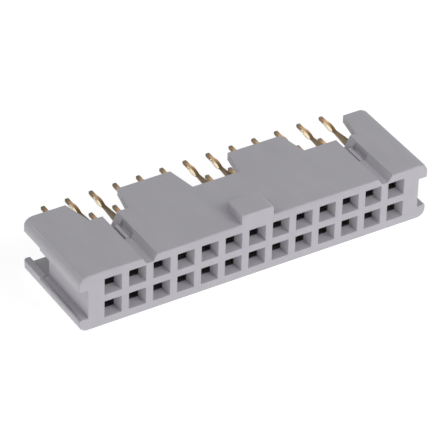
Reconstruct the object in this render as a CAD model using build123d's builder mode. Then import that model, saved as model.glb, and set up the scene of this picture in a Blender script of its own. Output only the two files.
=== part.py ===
"""Two-row socket header, 26 ways on a 2.54 mm grid.

One moulded housing and 26 stamped contacts, all in millimetres and in place.
X runs along the length, Y runs from the mating face at Y = 0 back to the board,
Z is up as the part lies in the picture.
"""
import os
from math import atan, degrees

from build123d import *

# Grid of the contacts.
pitch = 2.54
columns = 13
rows = 2
key_column = 7

# Outside of the housing.
end_margin = 3.51
row_margin = 1.78
seat_y = 10.7
block_depth = 7.45
top_radius = 1.0
bottom_radius = 0.9
rear_radius = 0.35
edge_break = 0.1

# C-shaped ends: depth of the recess and the faces of the two flanges.
end_recess = 0.95
recess_top = 1.5
recess_bottom = 1.58
recess_draft = 0.14
flange_radius = 0.3

# Skirts behind the block, with a thicker lip at both ends.
skirt_thickness = 0.88
lip_width = 0.7
lip_slope = 0.4
lip_top = 1.75

# Notches in both skirts, in line with a groove, the key and the other groove:
# distances from that line to both edges, at the board and at the block.
notch_left_rear = (2.92, 3.18, 5.02)
notch_left_front = (2.1, 2.57, 4.37)
notch_right_rear = (2.63, 3.12, 2.08)
notch_right_front = (1.95, 2.5, 1.48)

# Polarising grooves: V-shaped in front, then a rib between two deep pockets,
# then a deeper V that is open to the rear.
groove_columns = (2.5, 12.5)
groove_width = 1.56
groove_floor_width = 0.7
groove_depth = 0.7
pocket_y = 4.15
pocket_depth = 1.15
rib_width = 0.4
rib_drop = 0.33
rear_vee_y = 6.3
rear_vee_depth = 1.27
rear_vee_floor_width = 0.28

# Key on the top face.
key_half_width = 1.75
key_height = 1.05
key_depth = 2.85
key_right_radius = 0.4
key_left_radius = 0.15
key_rear_radius = 0.3

# Wells and contact cavities, all given by the walls that are left.
mouth_wall = 0.75
funnel_inset = 0.27
funnel_depth = 1.2
throat_length = 0.35
front_cavity_wall = 0.84
front_cavity_half_height = 0.9
blade_slot_y = 3.9
blade_slot_width = 0.6
middle_wall = 0.3

# Stamped contact: blade in the Y-Z plane.
contact_thickness = 0.25
tine_clearance = 0.25
tine_mouth_half = 0.46
tine_grip_half = 0.27
tine_lead = 0.7
tine_grip = 0.25
tine_relief = 0.65
tine_thickness = 0.18
tine_root_half = 0.8
fork_half = 0.36
plate_length = 1.5
plate_to_block = 0.85
shoulder = 0.15
shank_half = 0.62
tail_length = 2.8
tip_to_eye = 1.7
eye_half_length = 0.95
eye_half = 0.31
neck_half = 0.11
tail_half = 0.19
tip_half = 0.08
tip_chamfer = 0.12
eye_hole_length = 1.5
eye_hole_height = 0.34

os.makedirs("parts", exist_ok=True)

middle_column = (columns + 1) / 2
notch_columns = (groove_columns[0], key_column, groove_columns[1])
row_z = (rows - 1) * pitch / 2
half_length = (columns - 1) * pitch / 2 + end_margin
half_height = row_z + row_margin
end_wall_x = half_length - end_recess
skirt_inner = half_height - skirt_thickness
mouth_size = pitch - mouth_wall
throat_size = mouth_size - 2 * funnel_inset
funnel_angle = degrees(atan(funnel_inset / funnel_depth))
throat_end_y = funnel_depth + throat_length
cavity_half_height = (pitch - middle_wall) / 2


def column_x(column):
    """Return the X position of a column, also of a half column."""
    return (column - middle_column) * pitch


def front_plane(y):
    """Return the X-Z plane at depth y; a negative extrusion runs to the rear."""
    return Plane.XZ.offset(-y)


def round_corner(sketch, level, side, radius):
    """Round one corner: level 0 is the lowest, side 0 the leftmost, -1 the last."""
    corner = sketch.vertices().group_by(Axis.Y)[level].sort_by(Axis.X)[side]
    fillet(corner, radius)


with BuildPart() as housing:
    # Outer body with its four long corners rounded and a small break all round.
    with BuildSketch(front_plane(0)) as outline:
        Rectangle(2 * half_length, 2 * half_height)
        round_corner(outline, 0, 0, bottom_radius)
        round_corner(outline, 0, -1, bottom_radius)
        round_corner(outline, -1, 0, top_radius)
        round_corner(outline, -1, -1, top_radius)
    extrude(amount=-seat_y)
    front_and_rear = housing.faces().filter_by(Axis.Y)
    chamfer(front_and_rear.edges(), edge_break)

    # Recess in both ends of the block, between the two flanges.
    outside_x = half_length + end_recess
    for side in (-1, 1):
        with BuildSketch(front_plane(0)):
            with BuildLine():
                Polyline(
                    (side * end_wall_x, recess_top),
                    (side * outside_x, recess_top),
                    (side * outside_x, -recess_bottom),
                    (side * half_length, -recess_bottom),
                    (side * end_wall_x, -recess_bottom - recess_draft),
                    close=True,
                )
            make_face()
        extrude(amount=-block_depth, mode=Mode.SUBTRACT)

    # Open space behind the block, between the two skirts and their end lips.
    lip_x = half_length - lip_width
    foot_x = lip_x - lip_slope
    with BuildSketch(front_plane(block_depth)):
        with BuildLine():
            Polyline(
                (-outside_x, lip_top),
                (-lip_x, lip_top),
                (-foot_x, skirt_inner),
                (foot_x, skirt_inner),
                (lip_x, lip_top),
                (outside_x, lip_top),
                (outside_x, -recess_bottom),
                (lip_x, -recess_bottom),
                (foot_x, -skirt_inner),
                (-foot_x, -skirt_inner),
                (-lip_x, -recess_bottom),
                (-outside_x, -recess_bottom),
                close=True,
            )
        make_face()
    extrude(amount=-(seat_y - block_depth), mode=Mode.SUBTRACT)

    # Soft outer edge along the bottom flanges, and rounded rear corners.
    flange_edges = (
        housing.edges()
        .filter_by(Axis.Y)
        .filter_by_position(Axis.Z, -recess_bottom - 0.01, -recess_bottom + 0.01)
        .group_by(SortBy.LENGTH)[-1]
    )
    fillet(flange_edges, flange_radius)
    with BuildSketch(Plane.XY.offset(-half_height)) as plan:
        with Locations((0, seat_y / 2)):
            Rectangle(2 * half_length, seat_y)
        round_corner(plan, -1, 0, rear_radius)
        round_corner(plan, -1, -1, rear_radius)
    extrude(amount=2 * half_height, mode=Mode.INTERSECT)

    # Tapered notches leave four feet on each skirt.
    skirt_cut = skirt_thickness + 0.2
    for face_z in (half_height - skirt_cut, -half_height):
        with BuildSketch(Plane.XY.offset(face_z)):
            for number, column in enumerate(notch_columns):
                middle = column_x(column)
                with BuildLine():
                    Polyline(
                        (middle - notch_left_rear[number], seat_y),
                        (middle + notch_right_rear[number], seat_y),
                        (middle + notch_right_front[number], block_depth),
                        (middle - notch_left_front[number], block_depth),
                        close=True,
                    )
                make_face()
        extrude(amount=skirt_cut, mode=Mode.SUBTRACT)

    # Wells: square mouth, tapered funnel, square throat.
    with BuildSketch(front_plane(funnel_depth)):
        with GridLocations(pitch, pitch, columns, rows):
            Rectangle(throat_size, throat_size)
    extrude(amount=funnel_depth, taper=-funnel_angle, mode=Mode.SUBTRACT)
    with BuildSketch(front_plane(funnel_depth)):
        with GridLocations(pitch, pitch, columns, rows):
            Rectangle(throat_size, throat_size)
    extrude(amount=-throat_length, mode=Mode.SUBTRACT)

    # Contact cavities: room for the springs, then a tall narrow slot for the blade,
    # open to the rear.
    with BuildSketch(front_plane(throat_end_y)):
        with GridLocations(pitch, pitch, columns, rows):
            Rectangle(pitch - front_cavity_wall, 2 * front_cavity_half_height)
    extrude(amount=-(blade_slot_y - throat_end_y), mode=Mode.SUBTRACT)
    with BuildSketch(front_plane(blade_slot_y)):
        with GridLocations(pitch, pitch, columns, rows):
            Rectangle(blade_slot_width, 2 * cavity_half_height)
    extrude(amount=-(block_depth - blade_slot_y), mode=Mode.SUBTRACT)

    # Grooves: V in front, then a sunk rib between two pockets, then the rear V.
    pocket_width = (groove_width - rib_width) / 2
    pocket_offset = (rib_width + pocket_width) / 2
    for column in groove_columns:
        groove_x = column_x(column)
        for start_y, end_y, floor_width, depth in (
            (0, pocket_y, groove_floor_width, groove_depth),
            (rear_vee_y, block_depth, rear_vee_floor_width, rear_vee_depth),
        ):
            with BuildSketch(front_plane(start_y)):
                with BuildLine():
                    Polyline(
                        (groove_x - groove_width / 2, half_height),
                        (groove_x + groove_width / 2, half_height),
                        (groove_x + floor_width / 2, half_height - depth),
                        (groove_x - floor_width / 2, half_height - depth),
                        close=True,
                    )
                make_face()
            extrude(amount=-(end_y - start_y), mode=Mode.SUBTRACT)
        with BuildSketch(front_plane(pocket_y)):
            with Locations((groove_x, half_height - rib_drop / 2)):
                Rectangle(groove_width, rib_drop)
            with Locations((groove_x, half_height - pocket_depth / 2)):
                with GridLocations(2 * pocket_offset, 0, 2, 1):
                    Rectangle(pocket_width, pocket_depth)
        extrude(amount=-(rear_vee_y - pocket_y), mode=Mode.SUBTRACT)

    # Centre key, flush with the mating face and sunk into the broken edge.
    key_base = half_height - 2 * edge_break
    with BuildSketch(front_plane(0)) as key:
        with Locations((column_x(key_column), key_base)):
            Rectangle(
                2 * key_half_width,
                key_height + 2 * edge_break,
                align=(Align.CENTER, Align.MIN),
            )
        round_corner(key, -1, 0, key_left_radius)
        round_corner(key, -1, -1, key_right_radius)
    extrude(amount=-key_depth)
    key_edges = housing.edges().filter_by(Axis.X).group_by(Axis.Z)[-1]
    fillet(key_edges.sort_by(Axis.Y)[-1], key_rear_radius)
    key_edges = housing.edges().filter_by(Axis.X).group_by(Axis.Z)[-1]
    chamfer(key_edges.sort_by(Axis.Y)[0], edge_break)

housing.part.label = "housing"
export_step(housing.part, "parts/housing.step")

# Contacts: fork towards the mating face, retention plate, tail with an eye.
tine_y = throat_end_y + tine_clearance
grip_y = tine_y + tine_lead
relief_y = grip_y + tine_grip + tine_relief
plate_rear_y = block_depth - plate_to_block
plate_front_y = plate_rear_y - plate_length
fork_y = plate_front_y - shoulder
tip_y = seat_y + tail_length
eye_y = tip_y - tip_to_eye
neck_y = eye_y - eye_half_length
eye_end_y = eye_y + eye_half_length
for row, z in (("a", row_z), ("b", -row_z)):
    for index in range(columns):
        x = column_x(index + 1)
        origin = (x - contact_thickness / 2, 0, z)
        blade = Plane(origin=origin, x_dir=(0, 1, 0), z_dir=(1, 0, 0))
        with BuildPart() as contact:
            with BuildSketch(blade):
                with BuildLine():
                    Polyline(
                        (fork_y, 0),
                        (fork_y - fork_half / 3, 2 * fork_half / 3),
                        (fork_y - fork_half, fork_half),
                        (relief_y, fork_half),
                        (grip_y + tine_grip, tine_grip_half),
                        (grip_y, tine_grip_half),
                        (tine_y, tine_mouth_half),
                        (tine_y, tine_mouth_half + tine_thickness),
                        (plate_front_y - shoulder, tine_root_half),
                        (plate_front_y, cavity_half_height),
                        (plate_rear_y, cavity_half_height),
                        (plate_rear_y + shoulder, shank_half),
                        (neck_y, neck_half),
                    )
                    ThreePointArc(
                        (neck_y, neck_half),
                        (eye_y, eye_half),
                        (eye_end_y, tail_half),
                    )
                    Polyline(
                        (eye_end_y, tail_half),
                        (tip_y - tip_chamfer, tail_half),
                        (tip_y, tip_half),
                        (tip_y, 0),
                        (fork_y, 0),
                    )
                make_face()
                mirror(about=Plane.XZ)
                with BuildLine():
                    for side in (-1, 1):
                        ThreePointArc(
                            (eye_y - eye_hole_length / 2, 0),
                            (eye_y, side * eye_hole_height / 2),
                            (eye_y + eye_hole_length / 2, 0),
                        )
                make_face(mode=Mode.SUBTRACT)
            extrude(amount=contact_thickness)
        name = f"contact_{row}{index + 1:02d}"
        contact.part.label = name
        export_step(contact.part, f"parts/{name}.step")
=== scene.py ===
"""Looks of a two-row socket header for a circuit board, 26 ways on a 2.54 mm grid.

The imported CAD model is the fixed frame: X runs along the length, Y from the
mating face back to the board, Z up. Sizes are written in millimetres and turned
to metres by MM, and angles are written in degrees.
"""
import logging
import math
from collections.abc import Iterable
from dataclasses import dataclass
from enum import Enum
from typing import Any

import bmesh
import bpy
from mathutils import Matrix, Vector


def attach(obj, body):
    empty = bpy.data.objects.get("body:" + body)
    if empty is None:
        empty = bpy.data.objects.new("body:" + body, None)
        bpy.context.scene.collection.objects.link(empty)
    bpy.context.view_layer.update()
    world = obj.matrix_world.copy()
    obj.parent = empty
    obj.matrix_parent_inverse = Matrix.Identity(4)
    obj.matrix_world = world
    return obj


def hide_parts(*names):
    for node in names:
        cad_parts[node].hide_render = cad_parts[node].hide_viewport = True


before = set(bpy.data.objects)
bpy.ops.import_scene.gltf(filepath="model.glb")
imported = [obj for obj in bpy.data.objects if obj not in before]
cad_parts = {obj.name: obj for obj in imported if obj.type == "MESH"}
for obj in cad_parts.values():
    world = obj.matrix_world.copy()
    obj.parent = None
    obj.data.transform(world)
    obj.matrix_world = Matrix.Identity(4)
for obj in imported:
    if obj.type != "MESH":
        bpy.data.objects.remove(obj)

MM = 0.001
PITCH = 2.54
# Points this close, in millimetres, are the same point.
TOUCHING = 1e-3
# A noise texture stays between these two values over nearly all of a surface.
NOISE_LOW, NOISE_HIGH = 0.3, 0.7

Colour = tuple[float, float, float, float]
Point = tuple[float, float]
Stop = tuple[float, str]
WHITE: Colour = (1.0, 1.0, 1.0, 1.0)
log = logging.getLogger("socket_header")


class Slot(Enum):
    """The record's material slots."""

    HOUSING = "housing"
    CONTACT = "contact"


def linear(hex_colour: str) -> Colour:
    """Turn an sRGB hex colour into linear RGBA.

    Args:
        hex_colour: six hex digits after a hash sign.

    Returns:
        The linear red, green and blue, and an alpha of 1.
    """
    parts = [int(hex_colour[i:i + 2], 16) / 255 for i in (1, 3, 5)]
    red, green, blue = (
        p / 12.92 if p <= 0.04045 else ((p + 0.055) / 1.055) ** 2.4 for p in parts
    )
    return red, green, blue, 1.0


def direction(azimuth: float, elevation: float) -> Vector:
    """Give the unit vector that points towards a place in the sky.

    Args:
        azimuth: the turn from +X towards +Y.
        elevation: the height above the horizon.

    Returns:
        The vector.
    """
    turn, tilt = math.radians(azimuth), math.radians(elevation)
    return Vector((math.cos(turn) * math.cos(tilt), math.sin(turn) * math.cos(tilt), math.sin(tilt)))


def add_node(tree: bpy.types.NodeTree, kind: str, values: dict[str | int, Any] | None = None,
             links: dict[str | int, bpy.types.NodeSocket] | None = None, **settings: Any) -> bpy.types.Node:
    """Add one node with its settings, socket values and incoming links.

    Args:
        tree: the node tree that gets the node.
        kind: the node's type name.
        values: socket name or number to the value that it is set to.
        links: socket name or number to the output socket that feeds it.
        **settings: the node's own properties.

    Returns:
        The new node.
    """
    node = tree.nodes.new(kind)
    for name, value in settings.items():
        setattr(node, name, value)
    for key, value in (values or {}).items():
        node.inputs[key].default_value = value
    for key, source in (links or {}).items():
        tree.links.new(source, node.inputs[key])
    return node


def new_material(name: str) -> tuple[bpy.types.Material, bpy.types.NodeTree]:
    """Make an empty node material.

    Args:
        name: the material's name.

    Returns:
        The material and its tree.
    """
    material = bpy.data.materials.new(name)
    material.use_nodes = True
    material.node_tree.nodes.clear()
    return material, material.node_tree


def set_stops(ramp: bpy.types.Node, stops: Iterable[Stop]) -> None:
    """Replace a colour ramp's stops.

    Args:
        ramp: the colour ramp node.
        stops: each stop's place from 0 to 1 and its sRGB hex colour.
    """
    elements = ramp.color_ramp.elements
    while len(elements) > 1:
        elements.remove(elements[-1])
    first, *others = [(place, linear(colour)) for place, colour in stops]
    elements[0].position, elements[0].color = first
    for place, colour in others:
        elements.new(place).color = colour


def linked(name: str, data: bpy.types.ID) -> bpy.types.Object:
    """Make an object at the origin and link it to the scene.

    Args:
        name: the object's name.
        data: its mesh, camera or lamp.

    Returns:
        The new object.
    """
    made = bpy.data.objects.new(name, data)
    bpy.context.scene.collection.objects.link(made)
    return made


def new_object(name: str, bm: bmesh.types.BMesh) -> bpy.types.Object:
    """Turn a bmesh in millimetres into an object in metres.

    Args:
        name: the object's name.
        bm: the mesh, which is freed.

    Returns:
        The new object, at the origin.
    """
    bm.transform(Matrix.Scale(MM, 4))
    mesh = bpy.data.meshes.new(name)
    bm.to_mesh(mesh)
    bm.free()
    return linked(name, mesh)


def baked(piece: bpy.types.Object, name: str) -> bpy.types.Object:
    """Turn an object with modifiers into a plain mesh object.

    Args:
        piece: the object, which is removed.
        name: the name of the plain one.

    Returns:
        The plain object, at the origin and without modifiers.
    """
    depsgraph = bpy.context.evaluated_depsgraph_get()
    mesh = bpy.data.meshes.new_from_object(
        piece.evaluated_get(depsgraph), preserve_all_data_layers=True, depsgraph=depsgraph)
    piece.modifiers.clear()
    bpy.data.objects.remove(piece)
    mesh.name = name
    return linked(name, mesh)


@dataclass(frozen=True)
class MouldedPolyester:
    """Glass-filled polyester, injection moulded in a spark-eroded tool.

    The eroded steel leaves a fine even grain, so the surface is matt with a
    broad weak sheen. Glass near the skin makes the grey a little uneven along
    the way that the melt flowed.
    """

    tones: tuple[Stop, ...] = ((0.38, "#A9A7AD"), (0.67, "#ACAAB0"), (0.95, "#AFADB3"))
    ior: float = 1.57
    roughness: float = 0.55
    roughness_swing: float = 0.07
    flow_length: float = 5.0
    flow_width: float = 1.6
    # Real flecks are 0.01 mm wide and the grain 0.03 mm, too fine to show, so both
    # are drawn about a pixel wide.
    fleck: float = 0.16
    fleck_share: float = 0.35
    grain: float = 0.11
    grain_depth: float = 0.004
    grain_strength: float = 0.35

    def build(self) -> bpy.types.Material:
        """Build the material.

        Returns:
            The material for the housing.
        """
        material, tree = new_material("moulded_grey_polyester")
        place = add_node(tree, "ShaderNodeTexCoord").outputs["Object"]
        along, across = 1 / (self.flow_length * MM), 1 / (self.flow_width * MM)
        stretched = add_node(tree, "ShaderNodeMapping", {"Scale": (across, along, across)},
                             {"Vector": place})
        flow = add_node(tree, "ShaderNodeTexNoise", {"Scale": 1.0, "Detail": 2.0, "Roughness": 0.5},
                        {"Vector": stretched.outputs[0]})
        fleck = add_node(tree, "ShaderNodeTexNoise", {
            "Scale": 1 / (self.fleck * MM), "Detail": 1.0, "Roughness": 0.6}, {"Vector": place})
        both = add_node(tree, "ShaderNodeMath", {1: self.fleck_share}, {
            0: fleck.outputs[0], 2: flow.outputs[0]}, operation="MULTIPLY_ADD")
        tone = add_node(tree, "ShaderNodeValToRGB", links={0: both.outputs[0]})
        set_stops(tone, self.tones)
        rough = add_node(tree, "ShaderNodeMapRange", {
            "From Min": NOISE_LOW, "From Max": NOISE_HIGH, "To Min": self.roughness - self.roughness_swing,
            "To Max": self.roughness + self.roughness_swing}, {"Value": fleck.outputs[0]})
        grain = add_node(tree, "ShaderNodeTexNoise", {
            "Scale": 1 / (self.grain * MM), "Detail": 2.0, "Roughness": 0.55}, {"Vector": place})
        bump = add_node(tree, "ShaderNodeBump", {
            "Strength": self.grain_strength, "Distance": self.grain_depth * MM},
            {"Height": grain.outputs[0]})
        shader = add_node(tree, "ShaderNodeBsdfPrincipled", {"IOR": self.ior}, {
            "Base Color": tone.outputs[0], "Roughness": rough.outputs[0], "Normal": bump.outputs[0]})
        add_node(tree, "ShaderNodeOutputMaterial", links={"Surface": shader.outputs["BSDF"]})
        return material


@dataclass(frozen=True)
class GoldFlashedBronze:
    """Phosphor bronze strip, gold flashed and then stamped.

    The flash is warm round the press-fit eye and wears down to brown bronze at the neck and the
    tip. The sheared faces are burnished tan towards the tip and tarnished at the neck, fine lines
    run along the strip from its rolling, and the colours grow brighter from the -X end of the row
    to the +X end. Where the tail goes into the housing it is painted dark, as painted shade, and
    the eye's hole is painted nearly white, as a painted highlight.
    """

    # Each stop of the flat and the sheared faces is a place along Y and the colour there.
    # The darkest stops, at Y 7.4 where the tail goes into the housing, are painted shade.
    flat: tuple[Stop, ...] = (
        (7.4, "#463D35"), (8.1, "#62543F"), (10.2, "#6A583F"), (10.8, "#57452B"), (11.2, "#836B48"),
        (12.0, "#8E754F"), (12.6, "#7F6746"), (13.0, "#6C5C45"), (13.4, "#5C554A"))
    sheared: tuple[Stop, ...] = (
        (7.4, "#463D35"), (8.1, "#716353"), (10.3, "#65553F"), (10.85, "#5A472F"), (11.3, "#6A5538"),
        (11.8, "#957858"), (12.3, "#B5946F"), (12.7, "#A68767"), (13.0, "#7C684F"), (13.4, "#645C50"))
    # A face counts as flat from this much of its normal along X, fully at the second value.
    flat_from: tuple[float, float] = (0.3, 0.8)
    # The eye's hole and a thin band round it are painted this near white: a painted highlight.
    inner: str = "#FFF6E2"
    eye: Point = (11.8, PITCH / 2)
    eye_half_length: float = 0.8
    eye_half_height: float = 0.24
    # The colours' level at the left and the right end of the row, and how far out those ends are.
    minus_x_level: float = 0.9
    plus_x_level: float = 1.5
    row_half: float = 16.0
    roughness: float = 0.36
    roughness_swing: float = 0.08
    # Real rolling lines are 0.01 mm apart, too fine to show, so they are drawn a pixel apart.
    # The stretch is their width as a share of their length.
    rolling: float = 0.09
    rolling_stretch: float = 0.12
    streaks: tuple[float, float] = (0.84, 1.14)

    def build(self) -> bpy.types.Material:
        """Build the material.

        Returns:
            The material for the contacts.
        """
        material, tree = new_material("gold_flashed_bronze")
        place = add_node(tree, "ShaderNodeTexCoord").outputs["Object"]
        axes = add_node(tree, "ShaderNodeSeparateXYZ", links={0: place})
        wear_and_shade = self._wear_and_housing_shade(tree, axes)
        flash = add_node(tree, "ShaderNodeMapRange", {
            "From Min": -self.row_half * MM, "From Max": self.row_half * MM,
            "To Min": self.minus_x_level, "To Max": self.plus_x_level}, {"Value": axes.outputs["X"]})
        across = 1 / (self.rolling * MM)
        strip = add_node(tree, "ShaderNodeMapping", {
            "Scale": (across, self.rolling_stretch * across, across)}, {"Vector": place})
        lines = add_node(tree, "ShaderNodeTexNoise", {"Scale": 1.0, "Detail": 2.0},
                         {"Vector": strip.outputs[0]})
        streak = add_node(tree, "ShaderNodeMapRange", {
            "From Min": NOISE_LOW, "From Max": NOISE_HIGH, "To Min": self.streaks[0],
            "To Max": self.streaks[1]}, {"Value": lines.outputs[0]})
        level = add_node(tree, "ShaderNodeMath", links={0: flash.outputs[0], 1: streak.outputs[0]},
                         operation="MULTIPLY")
        outside = add_node(tree, "ShaderNodeVectorMath", links={0: wear_and_shade, "Scale": level.outputs[0]},
                           operation="SCALE")
        # The eye's hole gets the painted highlight.
        colour = add_node(tree, "ShaderNodeMix", {7: linear(self.inner)}, {
            0: self._eye_hole_highlight_mask(tree, axes), 6: outside.outputs[0]}, data_type="RGBA")
        rough = add_node(tree, "ShaderNodeMapRange", {
            "From Min": NOISE_LOW, "From Max": NOISE_HIGH, "To Min": self.roughness - self.roughness_swing,
            "To Max": self.roughness + self.roughness_swing}, {"Value": lines.outputs[0]})
        shader = add_node(tree, "ShaderNodeBsdfPrincipled", {"Metallic": 1.0}, {
            "Base Color": colour.outputs[2], "Roughness": rough.outputs[0]})
        add_node(tree, "ShaderNodeOutputMaterial", links={"Surface": shader.outputs["BSDF"]})
        return material

    def _wear_and_housing_shade(self, tree: bpy.types.NodeTree, axes: bpy.types.Node) -> bpy.types.NodeSocket:
        """Add nodes that give the colour along the tail, on its flat and its sheared faces: the flash's
        wear, and painted shade where the tail goes into the housing.

        Args:
            tree: the material's tree.
            axes: the node that gives the place along each axis.

        Returns:
            The output that holds the colour.
        """
        first, last = self.flat[0][0], self.flat[-1][0]
        length = add_node(tree, "ShaderNodeMapRange", {
            "From Min": first * MM, "From Max": last * MM}, {"Value": axes.outputs["Y"]})
        ramps = []
        for stops in (self.sheared, self.flat):
            ramp = add_node(tree, "ShaderNodeValToRGB", links={0: length.outputs[0]})
            set_stops(ramp, [((y - first) / (last - first), colour) for y, colour in stops])
            ramps.append(ramp.outputs[0])
        normal = add_node(tree, "ShaderNodeSeparateXYZ", links={
            0: add_node(tree, "ShaderNodeNewGeometry").outputs["Normal"]})
        sideways = add_node(tree, "ShaderNodeMath", links={0: normal.outputs["X"]}, operation="ABSOLUTE")
        facing = add_node(tree, "ShaderNodeMapRange", {
            "From Min": self.flat_from[0], "From Max": self.flat_from[1]}, {"Value": sideways.outputs[0]})
        wear_and_shade = add_node(tree, "ShaderNodeMix", links={0: facing.outputs[0], 6: ramps[0], 7: ramps[1]},
                        data_type="RGBA")
        return wear_and_shade.outputs[2]

    def _eye_hole_highlight_mask(self, tree: bpy.types.NodeTree, axes: bpy.types.Node) -> bpy.types.NodeSocket:
        """Add nodes that are 1 on the wall of the eye's hole and just round it, where the painted highlight
        goes, and 0 elsewhere.

        Args:
            tree: the material's tree.
            axes: the node that gives the place along each axis.

        Returns:
            The output that holds the mask.
        """
        height = add_node(tree, "ShaderNodeMath", links={0: axes.outputs["Z"]}, operation="ABSOLUTE")
        squares = []
        for source, centre, half in ((axes.outputs["Y"], self.eye[0], self.eye_half_length),
                                     (height.outputs[0], self.eye[1], self.eye_half_height)):
            scaled = add_node(tree, "ShaderNodeMapRange", {
                "From Min": centre * MM, "From Max": (centre + half) * MM}, {"Value": source}, clamp=False)
            square = add_node(tree, "ShaderNodeMath", {1: 2.0}, {0: scaled.outputs[0]}, operation="POWER")
            squares.append(square.outputs[0])
        total = add_node(tree, "ShaderNodeMath", links={0: squares[0], 1: squares[1]})
        inside = add_node(tree, "ShaderNodeMath", {1: 1.0}, {0: total.outputs[0]}, operation="LESS_THAN")
        return inside.outputs[0]


@dataclass(frozen=True)
class WellShadeBronze:
    """Bare, dull bronze for the sleeves deep inside each well; its dark tone is painted shade."""

    tones: tuple[Stop, ...] = ((0.35, "#8C8686"), (0.7, "#A39D9C"))
    patch: float = 0.5
    roughness: float = 0.6

    def build(self) -> bpy.types.Material:
        """Build the material.

        Returns:
            The material for the sleeves that are painted shade inside the wells.
        """
        material, tree = new_material("painted_well_shade_bronze")
        place = add_node(tree, "ShaderNodeTexCoord").outputs["Object"]
        patch = add_node(tree, "ShaderNodeTexNoise", {"Scale": 1 / (self.patch * MM), "Detail": 2.0},
                         {"Vector": place})
        tone = add_node(tree, "ShaderNodeValToRGB", links={0: patch.outputs[0]})
        set_stops(tone, self.tones)
        shader = add_node(tree, "ShaderNodeBsdfPrincipled", {
            "Metallic": 1.0, "Roughness": self.roughness}, {"Base Color": tone.outputs[0]})
        add_node(tree, "ShaderNodeOutputMaterial", links={"Surface": shader.outputs["BSDF"]})
        return material


@dataclass
class Grid:
    """The 13 by 2 grid that every contact sits on, centred on the origin."""

    columns: int = 13
    rows: int = 2
    pitch: float = PITCH

    def column_x(self, column: float) -> float:
        """Give the place along X of a column, counted from 1, or of a half column."""
        return (column - (self.columns + 1) / 2) * self.pitch

    def repeat(self, piece: bpy.types.Object, name: str,
               material: bpy.types.Material) -> bpy.types.Object:
        """Put a copy of a piece on each place of the grid and join them into one plain mesh.

        Args:
            piece: the piece at the grid's centre, which is removed.
            name: the name of the result.
            material: the material that the result gets.

        Returns:
            The joined object.
        """
        tree, inputs = self._tree(f"{name}_on_the_grid", material)
        holder = linked(f"{name}_holder", bpy.data.meshes.new(f"{name}_holder"))
        modifier = holder.modifiers.new("grid", "NODES")
        modifier.node_group = tree
        for label, value in (("Piece", piece), ("Columns", self.columns), ("Rows", self.rows),
                             ("Pitch", self.pitch * MM)):
            modifier[inputs[label]] = value
        result = baked(holder, name)
        bpy.data.objects.remove(piece)
        bpy.data.node_groups.remove(tree)
        return result

    def _tree(self, name: str, material: bpy.types.Material) -> tuple[bpy.types.NodeTree, dict[str, str]]:
        """Build the Geometry Nodes tree that repeats a piece over the grid.

        Args:
            name: the tree's name.
            material: the material that the copies get.

        Returns:
            The tree, and the identifier of each named input.
        """
        tree = bpy.data.node_groups.new(name, "GeometryNodeTree")
        inputs = {}
        for label, kind in (("Piece", "NodeSocketObject"), ("Columns", "NodeSocketInt"),
                            ("Rows", "NodeSocketInt"), ("Pitch", "NodeSocketFloat")):
            socket = tree.interface.new_socket(name=label, in_out="INPUT", socket_type=kind)
            inputs[label] = socket.identifier
        tree.interface.new_socket(name="Geometry", in_out="OUTPUT", socket_type="NodeSocketGeometry")
        given = add_node(tree, "NodeGroupInput")
        spans = []
        for label in ("Columns", "Rows"):
            gaps = add_node(tree, "ShaderNodeMath", {1: 1.0}, {0: given.outputs[label]},
                            operation="SUBTRACT")
            span = add_node(tree, "ShaderNodeMath", links={0: gaps.outputs[0], 1: given.outputs["Pitch"]},
                            operation="MULTIPLY")
            spans.append(span.outputs[0])
        grid = add_node(tree, "GeometryNodeMeshGrid", links={
            "Size X": spans[0], "Size Y": spans[1],
            "Vertices X": given.outputs["Columns"], "Vertices Y": given.outputs["Rows"]})
        upright = add_node(tree, "GeometryNodeTransform", {"Rotation": (math.pi / 2, 0.0, 0.0)},
                           {"Geometry": grid.outputs["Mesh"]})
        shape = add_node(tree, "GeometryNodeObjectInfo", links={"Object": given.outputs["Piece"]})
        copies = add_node(tree, "GeometryNodeInstanceOnPoints", links={
            "Points": upright.outputs[0], "Instance": shape.outputs["Geometry"]})
        real = add_node(tree, "GeometryNodeRealizeInstances", links={0: copies.outputs[0]})
        dressed = add_node(tree, "GeometryNodeSetMaterial", {"Material": material},
                           {"Geometry": real.outputs[0]})
        add_node(tree, "NodeGroupOutput", links={0: dressed.outputs[0]})
        return tree, inputs


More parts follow.
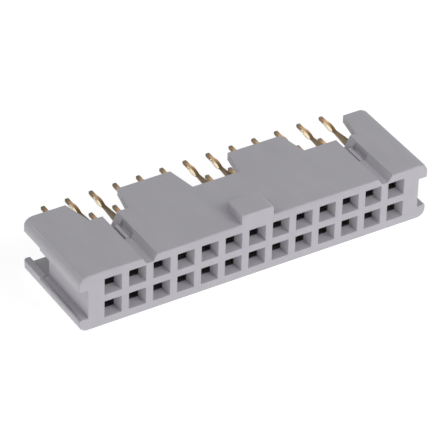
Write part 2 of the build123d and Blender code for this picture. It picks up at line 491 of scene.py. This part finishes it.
@dataclass
class Contacts:
    """Twenty-six stamped contacts: a fork for the post, a plate, and a tail with a needle eye.

    A point of the outline is a place along Y and a distance from the contact's
    middle line. The two flat sides are places along X.
    """

    sides: tuple[float, float] = (-0.13, 0.21)
    edge: float = 0.02
    fork: tuple[Point, ...] = (
        (4.95, 0.0), (4.83, 0.24), (4.59, 0.36), (3.4, 0.36), (2.75, 0.27), (2.5, 0.27),
        (1.8, 0.46), (1.8, 0.64), (4.95, 0.8), (5.1, 1.12), (6.6, 1.12), (6.75, 0.62))
    neck: Point = (10.85, 0.11)
    eye: Point = (11.8, 0.33)
    tail: Point = (12.75, 0.2)
    tip: tuple[Point, ...] = ((13.36, 0.2), (13.44, 0.18), (13.485, 0.14), (13.5, 0.08))
    hole_half_length: float = 0.76
    hole_half_height: float = 0.2
    steps: int = 12
    rims_above: float = 60.0
    smooth_below: float = 35.0

    def build(self, grid: Grid, material: bpy.types.Material) -> bpy.types.Object:
        """Make one contact and repeat it over the grid.

        Args:
            grid: where the contacts sit.
            material: their finish.

        Returns:
            All contacts as one mesh.
        """
        bm = bmesh.new()
        edges = []
        for loop in (self._outline(), self._hole()):
            verts = [bm.verts.new((self.sides[0], y, z)) for y, z in loop]
            edges += [bm.edges.new((verts[i - 1], verts[i])) for i in range(len(verts))]
        bmesh.ops.triangle_fill(bm, use_beauty=True, use_dissolve=False, edges=edges)
        made = bmesh.ops.extrude_face_region(bm, geom=bm.faces[:])
        bmesh.ops.translate(bm, vec=(self.sides[1] - self.sides[0], 0, 0),
                            verts=[v for v in made["geom"] if isinstance(v, bmesh.types.BMVert)])
        bmesh.ops.recalc_face_normals(bm, faces=bm.faces)
        rims = [e for e in bm.edges if e.calc_face_angle(0) > math.radians(self.rims_above)
                and abs(e.verts[0].co.x - e.verts[1].co.x) < TOUCHING]
        bmesh.ops.bevel(bm, geom=rims, offset=self.edge, segments=2, profile=0.5, affect="EDGES",
                        clamp_overlap=True)
        for face in bm.faces:
            face.smooth = True
        one = new_object("contact", bm)
        one.data.set_sharp_from_angle(angle=math.radians(self.smooth_below))
        contacts = grid.repeat(one, "stamped_contacts", material)
        log.info("%s: %d faces", contacts.name, len(contacts.data.polygons))
        return contacts

    def _outline(self) -> list[Point]:
        """List the outer outline, up one side and back down the other.

        Returns:
            The outline's points; those on the middle line are there once.
        """
        upper = [*self.fork, *self._eye_side(), *self.tip]
        return upper + [(y, -z) for y, z in reversed(upper) if z > 0]

    def _eye_side(self) -> list[Point]:
        """List the side of the eye, which rises from the neck to its peak and falls again to the tail.

        Returns:
            The side's points, from the neck to the tail.
        """
        shares = [i / self.steps for i in range(self.steps + 1)]
        rise = [self._between(self.neck, self.eye, t, math.sin(t * math.pi / 2)) for t in shares]
        fall = [self._between(self.eye, self.tail, t, (1 - math.cos(t * math.pi)) / 2) for t in shares[1:]]
        return rise + fall

    @staticmethod
    def _between(start: Point, end: Point, along: float, across: float) -> Point:
        """Give the point at one share of the way to the end along Y and another share across it."""
        return start[0] + (end[0] - start[0]) * along, start[1] + (end[1] - start[1]) * across

    def _hole(self) -> list[Point]:
        """List the outline of the eye's hole.

        Returns:
            The points of a lens that is pointed at both ends.
        """
        upper = [(self.eye[0] + self.hole_half_length * s, self.hole_half_height * (1 - s * s))
                 for s in (i / self.steps for i in range(-self.steps, self.steps + 1))]
        return upper + [(y, -z) for y, z in reversed(upper[1:-1])]


@dataclass
class WellShadeSleeves:
    """A thin square sleeve round each fork, a dark sheet put in as painted shade, which makes the wells
    dark inside.
    """

    front: float = 1.1
    back: float = 3.8
    half_width: float = 0.8
    half_height: float = 0.86
    wall: float = 0.08

    def build(self, grid: Grid, material: bpy.types.Material) -> bpy.types.Object:
        """Make one sleeve and repeat it over the grid.

        Args:
            grid: where the sleeves sit.
            material: their finish.

        Returns:
            All sleeves as one mesh.
        """
        bm = bmesh.new()
        corners = ((-1, -1), (1, -1), (1, 1), (-1, 1))
        rings = []
        for y, inset in ((self.front, 0.0), (self.back, 0.0), (self.back, self.wall),
                         (self.front, self.wall)):
            half_x, half_z = self.half_width - inset, self.half_height - inset
            rings.append([bm.verts.new((x * half_x, y, z * half_z)) for x, z in corners])
        for k, ring in enumerate(rings):
            after = rings[(k + 1) % len(rings)]
            for i in range(len(ring)):
                j = (i + 1) % len(ring)
                bm.faces.new((ring[i], ring[j], after[j], after[i]))
        bmesh.ops.recalc_face_normals(bm, faces=bm.faces)
        hoods = grid.repeat(new_object("hood", bm), "spring_hoods", material)
        log.info("%s: %d faces", hoods.name, len(hoods.data.polygons))
        return hoods


@dataclass
class Housing:
    """The moulded housing: the CAD solid with its sharp edges broken, and the tool's split lines.

    A few faces inside the wells and the pockets are moved from their place in
    the solid to the one that the photograph shows.
    """

    # An edge is broken this far if it is sharper than sharp_above and longer than shortest.
    edge: float = 0.035
    sharp_above: float = 50.0
    shortest: float = 0.06
    smooth_below: float = 40.0
    flat_within: float = 0.5
    # The step at the rear of both lower rails keeps its sharp edges.
    step_y: float = 7.45
    step_reach: float = 0.02
    rail_x: float = 17.9
    rail_z: float = -1.1
    # The split line along each end's long top rounding, by angle from the top.
    arc_centre: Point = (17.75, 2.05)
    arc_radius: float = 1.0
    split_span: tuple[float, float] = (0.05, 10.4)
    split_from: float = 20.0
    split_crest: float = 38.0
    split_proud: float = 0.08
    split_sunk: float = 0.12
    # The places along Y where the funnels and the lips behind them end, in the solid and here,
    # and how far from the middle the wells reach.
    funnel_ends: tuple[float, float] = (1.2, 0.97)
    lip_ends: tuple[float, float] = (1.55, 1.03)
    wells_x: float = 16.2
    wells_z: float = 2.2
    # Behind each groove a rib stands between two closed pockets. Their walls lean in below
    # pocket_top, and the heights of floor and rib are given in the solid and here.
    groove_columns: tuple[float, float] = (2.5, 12.5)
    groove_half: float = 0.78
    pocket_half: float = 0.68
    pocket_floor: tuple[float, float] = (1.9, 2.2)
    pocket_top: float = 2.88
    rib_top: tuple[float, float] = (2.72, 2.52)
    rib_half: float = 0.2
    # The edges of the pockets' outer walls and rear ends stay sharp; this is where they lie.
    pocket_span: tuple[float, float] = (4.1, 6.35)
    end_reach: float = 0.06
    wall_from: float = 0.6
    wall_reach: float = 0.01
    rim_z: float = 3.0

    def build(self, source: bpy.types.Object, grid: Grid, material: bpy.types.Material) -> bpy.types.Object:
        """Make the housing from a merged copy of its CAD node.

        Args:
            source: the CAD node, which is left as it is.
            grid: the grid that the grooves' columns are counted on.
            material: the housing's finish.

        Returns:
            The finished housing.
        """
        grooves = [grid.column_x(column) for column in self.groove_columns]
        bm = bmesh.new()
        bm.from_mesh(source.data)
        bm.transform(Matrix.Scale(1 / MM, 4))
        bmesh.ops.remove_doubles(bm, verts=bm.verts, dist=TOUCHING)
        bmesh.ops.dissolve_degenerate(bm, edges=bm.edges, dist=TOUCHING)
        bmesh.ops.dissolve_limit(bm, angle_limit=math.radians(self.flat_within), verts=bm.verts,
                                 edges=bm.edges)
        self._trim_lips(bm)
        for groove in grooves:
            self._raise_pockets(bm, groove)
        broken = [e for e in bm.edges if self._is_broken(e, grooves)]
        bmesh.ops.bevel(bm, geom=broken, offset=self.edge, offset_type="OFFSET", segments=2, profile=0.5,
                        affect="EDGES", clamp_overlap=False, loop_slide=True)
        for side in (-1, 1):
            self._add_split_line(bm, side)
        for face in bm.faces:
            face.smooth = True
        housing = new_object("housing_rough", bm)
        housing.data.materials.append(material)
        housing.data.set_sharp_from_angle(angle=math.radians(self.smooth_below))
        weighted = housing.modifiers.new("flat_faces_stay_flat", "WEIGHTED_NORMAL")
        weighted.keep_sharp = True
        weighted.weight = 100
        housing = baked(housing, "moulded_housing")
        log.info("%s: %d faces", housing.name, len(housing.data.polygons))
        return housing

    def _trim_lips(self, bm: bmesh.types.BMesh) -> None:
        """Bring the funnels' inner ends and the lips behind them forward, as the photograph shows them.

        Args:
            bm: the housing's mesh, in millimetres.
        """
        for vert in bm.verts:
            if abs(vert.co.x) > self.wells_x or abs(vert.co.z) > self.wells_z:
                continue
            for was, now in (self.funnel_ends, self.lip_ends):
                if abs(vert.co.y - was) < TOUCHING:
                    vert.co.y = now

    def _raise_pockets(self, bm: bmesh.types.BMesh, groove: float) -> None:
        """Make a groove's two pockets shallower and lower the rib between them.

        Args:
            bm: the housing's mesh, in millimetres.
            groove: the groove's place along X.
        """
        for side in (-1, 1):
            self._lean_wall(bm, groove, side)
        for vert in bm.verts:
            away = abs(vert.co.x - groove)
            for (was, now), reach in ((self.pocket_floor, self.groove_half),
                                      (self.rib_top, self.rib_half + TOUCHING)):
                if abs(vert.co.z - was) < TOUCHING and away <= reach:
                    vert.co.z = now

    def _lean_wall(self, bm: bmesh.types.BMesh, groove: float, side: int) -> None:
        """Lean a pocket's outer wall in below the groove's slope, which so runs on above the pocket.

        Args:
            bm: the housing's mesh, in millimetres.
            groove: the groove's place along X.
            side: -1 for the left pocket, 1 for the right.
        """
        wall = groove + side * self.groove_half
        floor = self.pocket_floor[0]
        faces = [f for f in bm.faces if all(abs(v.co.x - wall) < TOUCHING for v in f.verts)
                 and min(v.co.z for v in f.verts) < floor + TOUCHING]
        around = {f for face in faces for e in face.edges for f in e.link_faces
                  if min(v.co.z for v in f.verts) >= floor - TOUCHING
                  and max(abs(v.co.x - groove) for v in f.verts) < 2 * self.groove_half}
        rims = {e for f in around for e in f.edges}
        points = {v for f in around for v in f.verts}
        cut = bmesh.ops.bisect_plane(bm, geom=[*around, *rims, *points],
                                     plane_co=(0, 0, self.pocket_top), plane_no=(0, 0, 1))
        moved = {v for v in cut["geom_cut"] if isinstance(v, bmesh.types.BMVert)}
        moved |= {v for f in faces if f.is_valid for v in f.verts if v.co.z < floor + TOUCHING}
        for vert in moved:
            if abs(vert.co.x - wall) < TOUCHING:
                vert.co.x = groove + side * self.pocket_half

    def _is_broken(self, edge: bmesh.types.BMEdge, grooves: list[float]) -> bool:
        """Tell whether an edge is broken: sharp, long enough, and not on a rail's step or a pocket's wall.

        Args:
            edge: the edge.
            grooves: the places of the grooves along X.

        Returns:
            True if it is.
        """
        if not edge.is_manifold or edge.calc_face_angle(0) <= math.radians(self.sharp_above):
            return False
        if edge.calc_length() < self.shortest:
            return False
        if any(self._is_on_pocket(edge, groove) for groove in grooves):
            return False
        return not all(abs(v.co.x) > self.rail_x and abs(v.co.y - self.step_y) < self.step_reach
                       and v.co.z < self.rail_z for v in edge.verts)

    def _is_on_pocket(self, edge: bmesh.types.BMEdge, groove: float) -> bool:
        """Tell whether an edge lies on the outer wall or the rear end of one of a groove's pockets.

        Args:
            edge: the edge.
            groove: the groove's place along X.

        Returns:
            True if it does.
        """
        if min(v.co.z for v in edge.verts) > self.rim_z:
            return False
        front, rear = self.pocket_span
        places = [(abs(v.co.x - groove), v.co.y) for v in edge.verts]
        reach = self.groove_half + self.wall_reach
        on_wall = all(self.wall_from < x < reach and front < y < rear for x, y in places)
        on_end = all(x < reach and rear - self.end_reach < y < rear for x, y in places)
        return on_wall or on_end

    def _add_split_line(self, bm: bmesh.types.BMesh, side: int) -> None:
        """Add the low step that the tool's split leaves along one long top rounding.

        Args:
            bm: the housing's mesh, in millimetres.
            side: -1 for the left end, 1 for the right.
        """
        centre_x, centre_z = self.arc_centre
        start, crest = math.radians(self.split_from), math.radians(self.split_crest)
        inner = self.arc_radius - self.split_sunk
        outer = self.arc_radius + self.split_proud
        crest_x, crest_z = outer * math.sin(crest), outer * math.cos(crest)
        corners = ((inner * math.sin(start), inner * math.cos(start)),
                   (self.arc_radius * math.sin(start), self.arc_radius * math.cos(start)),
                   (crest_x, crest_z),
                   (crest_x, crest_z - self.split_proud - self.split_sunk))
        rings = [[bm.verts.new((side * (centre_x + x), y, centre_z + z)) for x, z in corners]
                 for y in self.split_span]
        made = [bm.faces.new(rings[0]), bm.faces.new(list(reversed(rings[1])))]
        for i in range(len(corners)):
            j = (i + 1) % len(corners)
            made.append(bm.faces.new((rings[0][i], rings[1][i], rings[1][j], rings[0][j])))
        bmesh.ops.recalc_face_normals(bm, faces=made)


@dataclass
class Camera:
    """The photograph's camera, fitted to the corners of the part.

    Azimuth 0 looks along +Y, and the elevation is how far it looks down.
    """

    azimuth: float = 31.884
    elevation: float = 36.055
    roll: float = 1.693
    place: tuple[float, float, float] = (-137.166, -214.224, 187.868)
    focal_pixels: float = 3427.85
    image_pixels: float = 444.0
    sensor: float = 36.0
    nearest: float = 10.0
    furthest: float = 10000.0

    def build(self) -> None:
        """Make the camera and make it the scene's camera."""
        az, el, roll = (math.radians(a) for a in (self.azimuth, self.elevation, self.roll))
        right = Vector((math.cos(az), -math.sin(az), 0.0))
        ahead = Vector((math.sin(az) * math.cos(el), math.cos(az) * math.cos(el), -math.sin(el)))
        above = right.cross(ahead)
        rolled_right = math.cos(roll) * right + math.sin(roll) * above
        rolled_above = -math.sin(roll) * right + math.cos(roll) * above
        turn = Matrix((rolled_right, rolled_above, -ahead)).transposed().to_4x4()
        data = bpy.data.cameras.new("camera")
        data.sensor_width = self.sensor
        data.lens = self.focal_pixels * self.sensor / self.image_pixels
        data.clip_start, data.clip_end = self.nearest * MM, self.furthest * MM
        camera = linked("camera", data)
        camera.matrix_world = Matrix.Translation(Vector(self.place) * MM) @ turn
        bpy.context.scene.camera = camera


@dataclass(frozen=True)
class Diffuser:
    """A round patch of the sky that is brighter: where it is, by how much, and how wide it is."""

    azimuth: float
    elevation: float
    level: float
    inner: float = 18.0
    outer: float = 40.0


@dataclass
class Studio:
    """A pale lit table, a dim sky with soft diffusers round the part, and one soft lamp in front."""

    # The table is a little lower than the part's underside, so that the two faces never coincide.
    floor_level: float = -3.07
    floor_half: float = 900.0
    sky: float = 0.1
    diffusers: tuple[Diffuser, ...] = (
        Diffuser(165.0, 42.0, 0.8), Diffuser(190.0, 65.0, 0.6), Diffuser(285.0, 28.0, 0.45),
        Diffuser(90.0, 20.0, 0.3), Diffuser(0.0, 15.0, 0.3))
    # The table as it lights the part, and as it is seen.
    table_glow: float = 0.84
    table_albedo: float = 0.85
    seen_glow: float = 0.83
    seen_albedo: float = 0.3
    lamp_azimuth: float = -55.0
    lamp_elevation: float = 40.0
    lamp_distance: float = 260.0
    lamp_size: float = 150.0
    lamp_level: float = 0.36

    def build(self) -> None:
        """Make the floor, the world and the lamp."""
        self._floor()
        self._world()
        self._lamp()
        bpy.context.scene.view_settings.view_transform = "Standard"

    def _floor(self) -> None:
        """Make the floor: it lights the part from below and is seen as white with a weak shadow."""
        half, level = self.floor_half * MM, self.floor_level * MM
        mesh = bpy.data.meshes.new("floor")
        corners = [(x * half, y * half, level) for x, y in ((-1, -1), (1, -1), (1, 1), (-1, 1))]
        mesh.from_pydata(corners, [], [range(len(corners))])
        material, tree = new_material("white_table")
        sides = []
        for glow, albedo in ((self.table_glow, self.table_albedo), (self.seen_glow, self.seen_albedo)):
            matt = add_node(tree, "ShaderNodeBsdfDiffuse", {"Color": (albedo, albedo, albedo, 1.0)})
            glowing = add_node(tree, "ShaderNodeEmission", {"Color": WHITE, "Strength": glow})
            both = add_node(tree, "ShaderNodeAddShader", links={
                0: matt.outputs["BSDF"], 1: glowing.outputs["Emission"]})
            sides.append(both.outputs[0])
        mix = add_node(tree, "ShaderNodeMixShader", links={0: self._seen(tree), 1: sides[0], 2: sides[1]})
        add_node(tree, "ShaderNodeOutputMaterial", links={"Surface": mix.outputs[0]})
        mesh.materials.append(material)
        linked("floor", mesh)

    def _world(self) -> None:
        """Make the sky: dim for the light on the part, white where it is seen."""
        world = bpy.data.worlds.new("sky")
        bpy.context.scene.world = world
        world.use_nodes = True
        tree = world.node_tree
        tree.nodes.clear()
        towards = add_node(tree, "ShaderNodeTexCoord").outputs["Generated"]
        level = add_node(tree, "ShaderNodeValue").outputs[0]
        level.default_value = self.sky
        for diffuser in self.diffusers:
            near = add_node(tree, "ShaderNodeVectorMath", {
                1: direction(diffuser.azimuth, diffuser.elevation)}, {0: towards}, operation="DOT_PRODUCT")
            patch = add_node(tree, "ShaderNodeMapRange", {
                "From Min": math.cos(math.radians(diffuser.outer)),
                "From Max": math.cos(math.radians(diffuser.inner)), "To Max": diffuser.level},
                {"Value": near.outputs["Value"]}, interpolation_type="SMOOTHSTEP")
            level = add_node(tree, "ShaderNodeMath", links={0: level, 1: patch.outputs[0]}).outputs[0]
        dim = add_node(tree, "ShaderNodeBackground", {"Color": WHITE}, {"Strength": level})
        white = add_node(tree, "ShaderNodeBackground", {"Color": WHITE, "Strength": 1.0})
        mix = add_node(tree, "ShaderNodeMixShader", links={
            0: self._seen(tree), 1: dim.outputs[0], 2: white.outputs[0]})
        add_node(tree, "ShaderNodeOutputWorld", links={"Surface": mix.outputs[0]})

    def _lamp(self) -> None:
        """Make the soft lamp; its power gives lamp_level on a face that looks straight at it."""
        towards = direction(self.lamp_azimuth, self.lamp_elevation)
        data = bpy.data.lights.new("soft_lamp", "AREA")
        data.size = self.lamp_size * MM
        data.energy = self.lamp_level * (math.pi * self.lamp_distance * MM) ** 2
        lamp = linked("soft_lamp", data)
        lamp.location = towards * self.lamp_distance * MM
        lamp.rotation_euler = towards.to_track_quat("Z", "Y").to_euler()

    def _seen(self, tree: bpy.types.NodeTree) -> bpy.types.NodeSocket:
        """Add nodes that are 1 where the backdrop is seen, straight, in a reflection or through glass.

        Args:
            tree: the tree of the floor or the world.

        Returns:
            The output that holds the 1 or 0.
        """
        path = add_node(tree, "ShaderNodeLightPath")
        seen = path.outputs["Is Camera Ray"]
        for ray in ("Is Glossy Ray", "Is Transmission Ray"):
            seen = add_node(tree, "ShaderNodeMath", links={0: seen, 1: path.outputs[ray]},
                            operation="MAXIMUM").outputs[0]
        return seen


def fit(piece: bpy.types.Object, nodes: list[str]) -> None:
    """Give a piece its body, and let it stand for its CAD nodes.

    Args:
        piece: the finished piece.
        nodes: the CAD nodes that it stands for, if any.
    """
    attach(piece, "root")
    if nodes:
        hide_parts(*nodes)


def main() -> None:
    logging.basicConfig(level=logging.INFO, format="%(message)s")
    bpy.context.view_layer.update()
    Camera().build()
    Studio().build()
    grid = Grid()
    housing = Housing().build(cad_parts["housing"], grid, MouldedPolyester().build())
    fit(housing, ["housing"])
    contacts = Contacts().build(grid, GoldFlashedBronze().build())
    fit(contacts, [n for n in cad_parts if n.startswith("contact_")])
    # The sleeves are painted shade deep inside the wells.
    fit(WellShadeSleeves().build(grid, WellShadeBronze().build()), [])


if __name__ == "__main__":
    main()
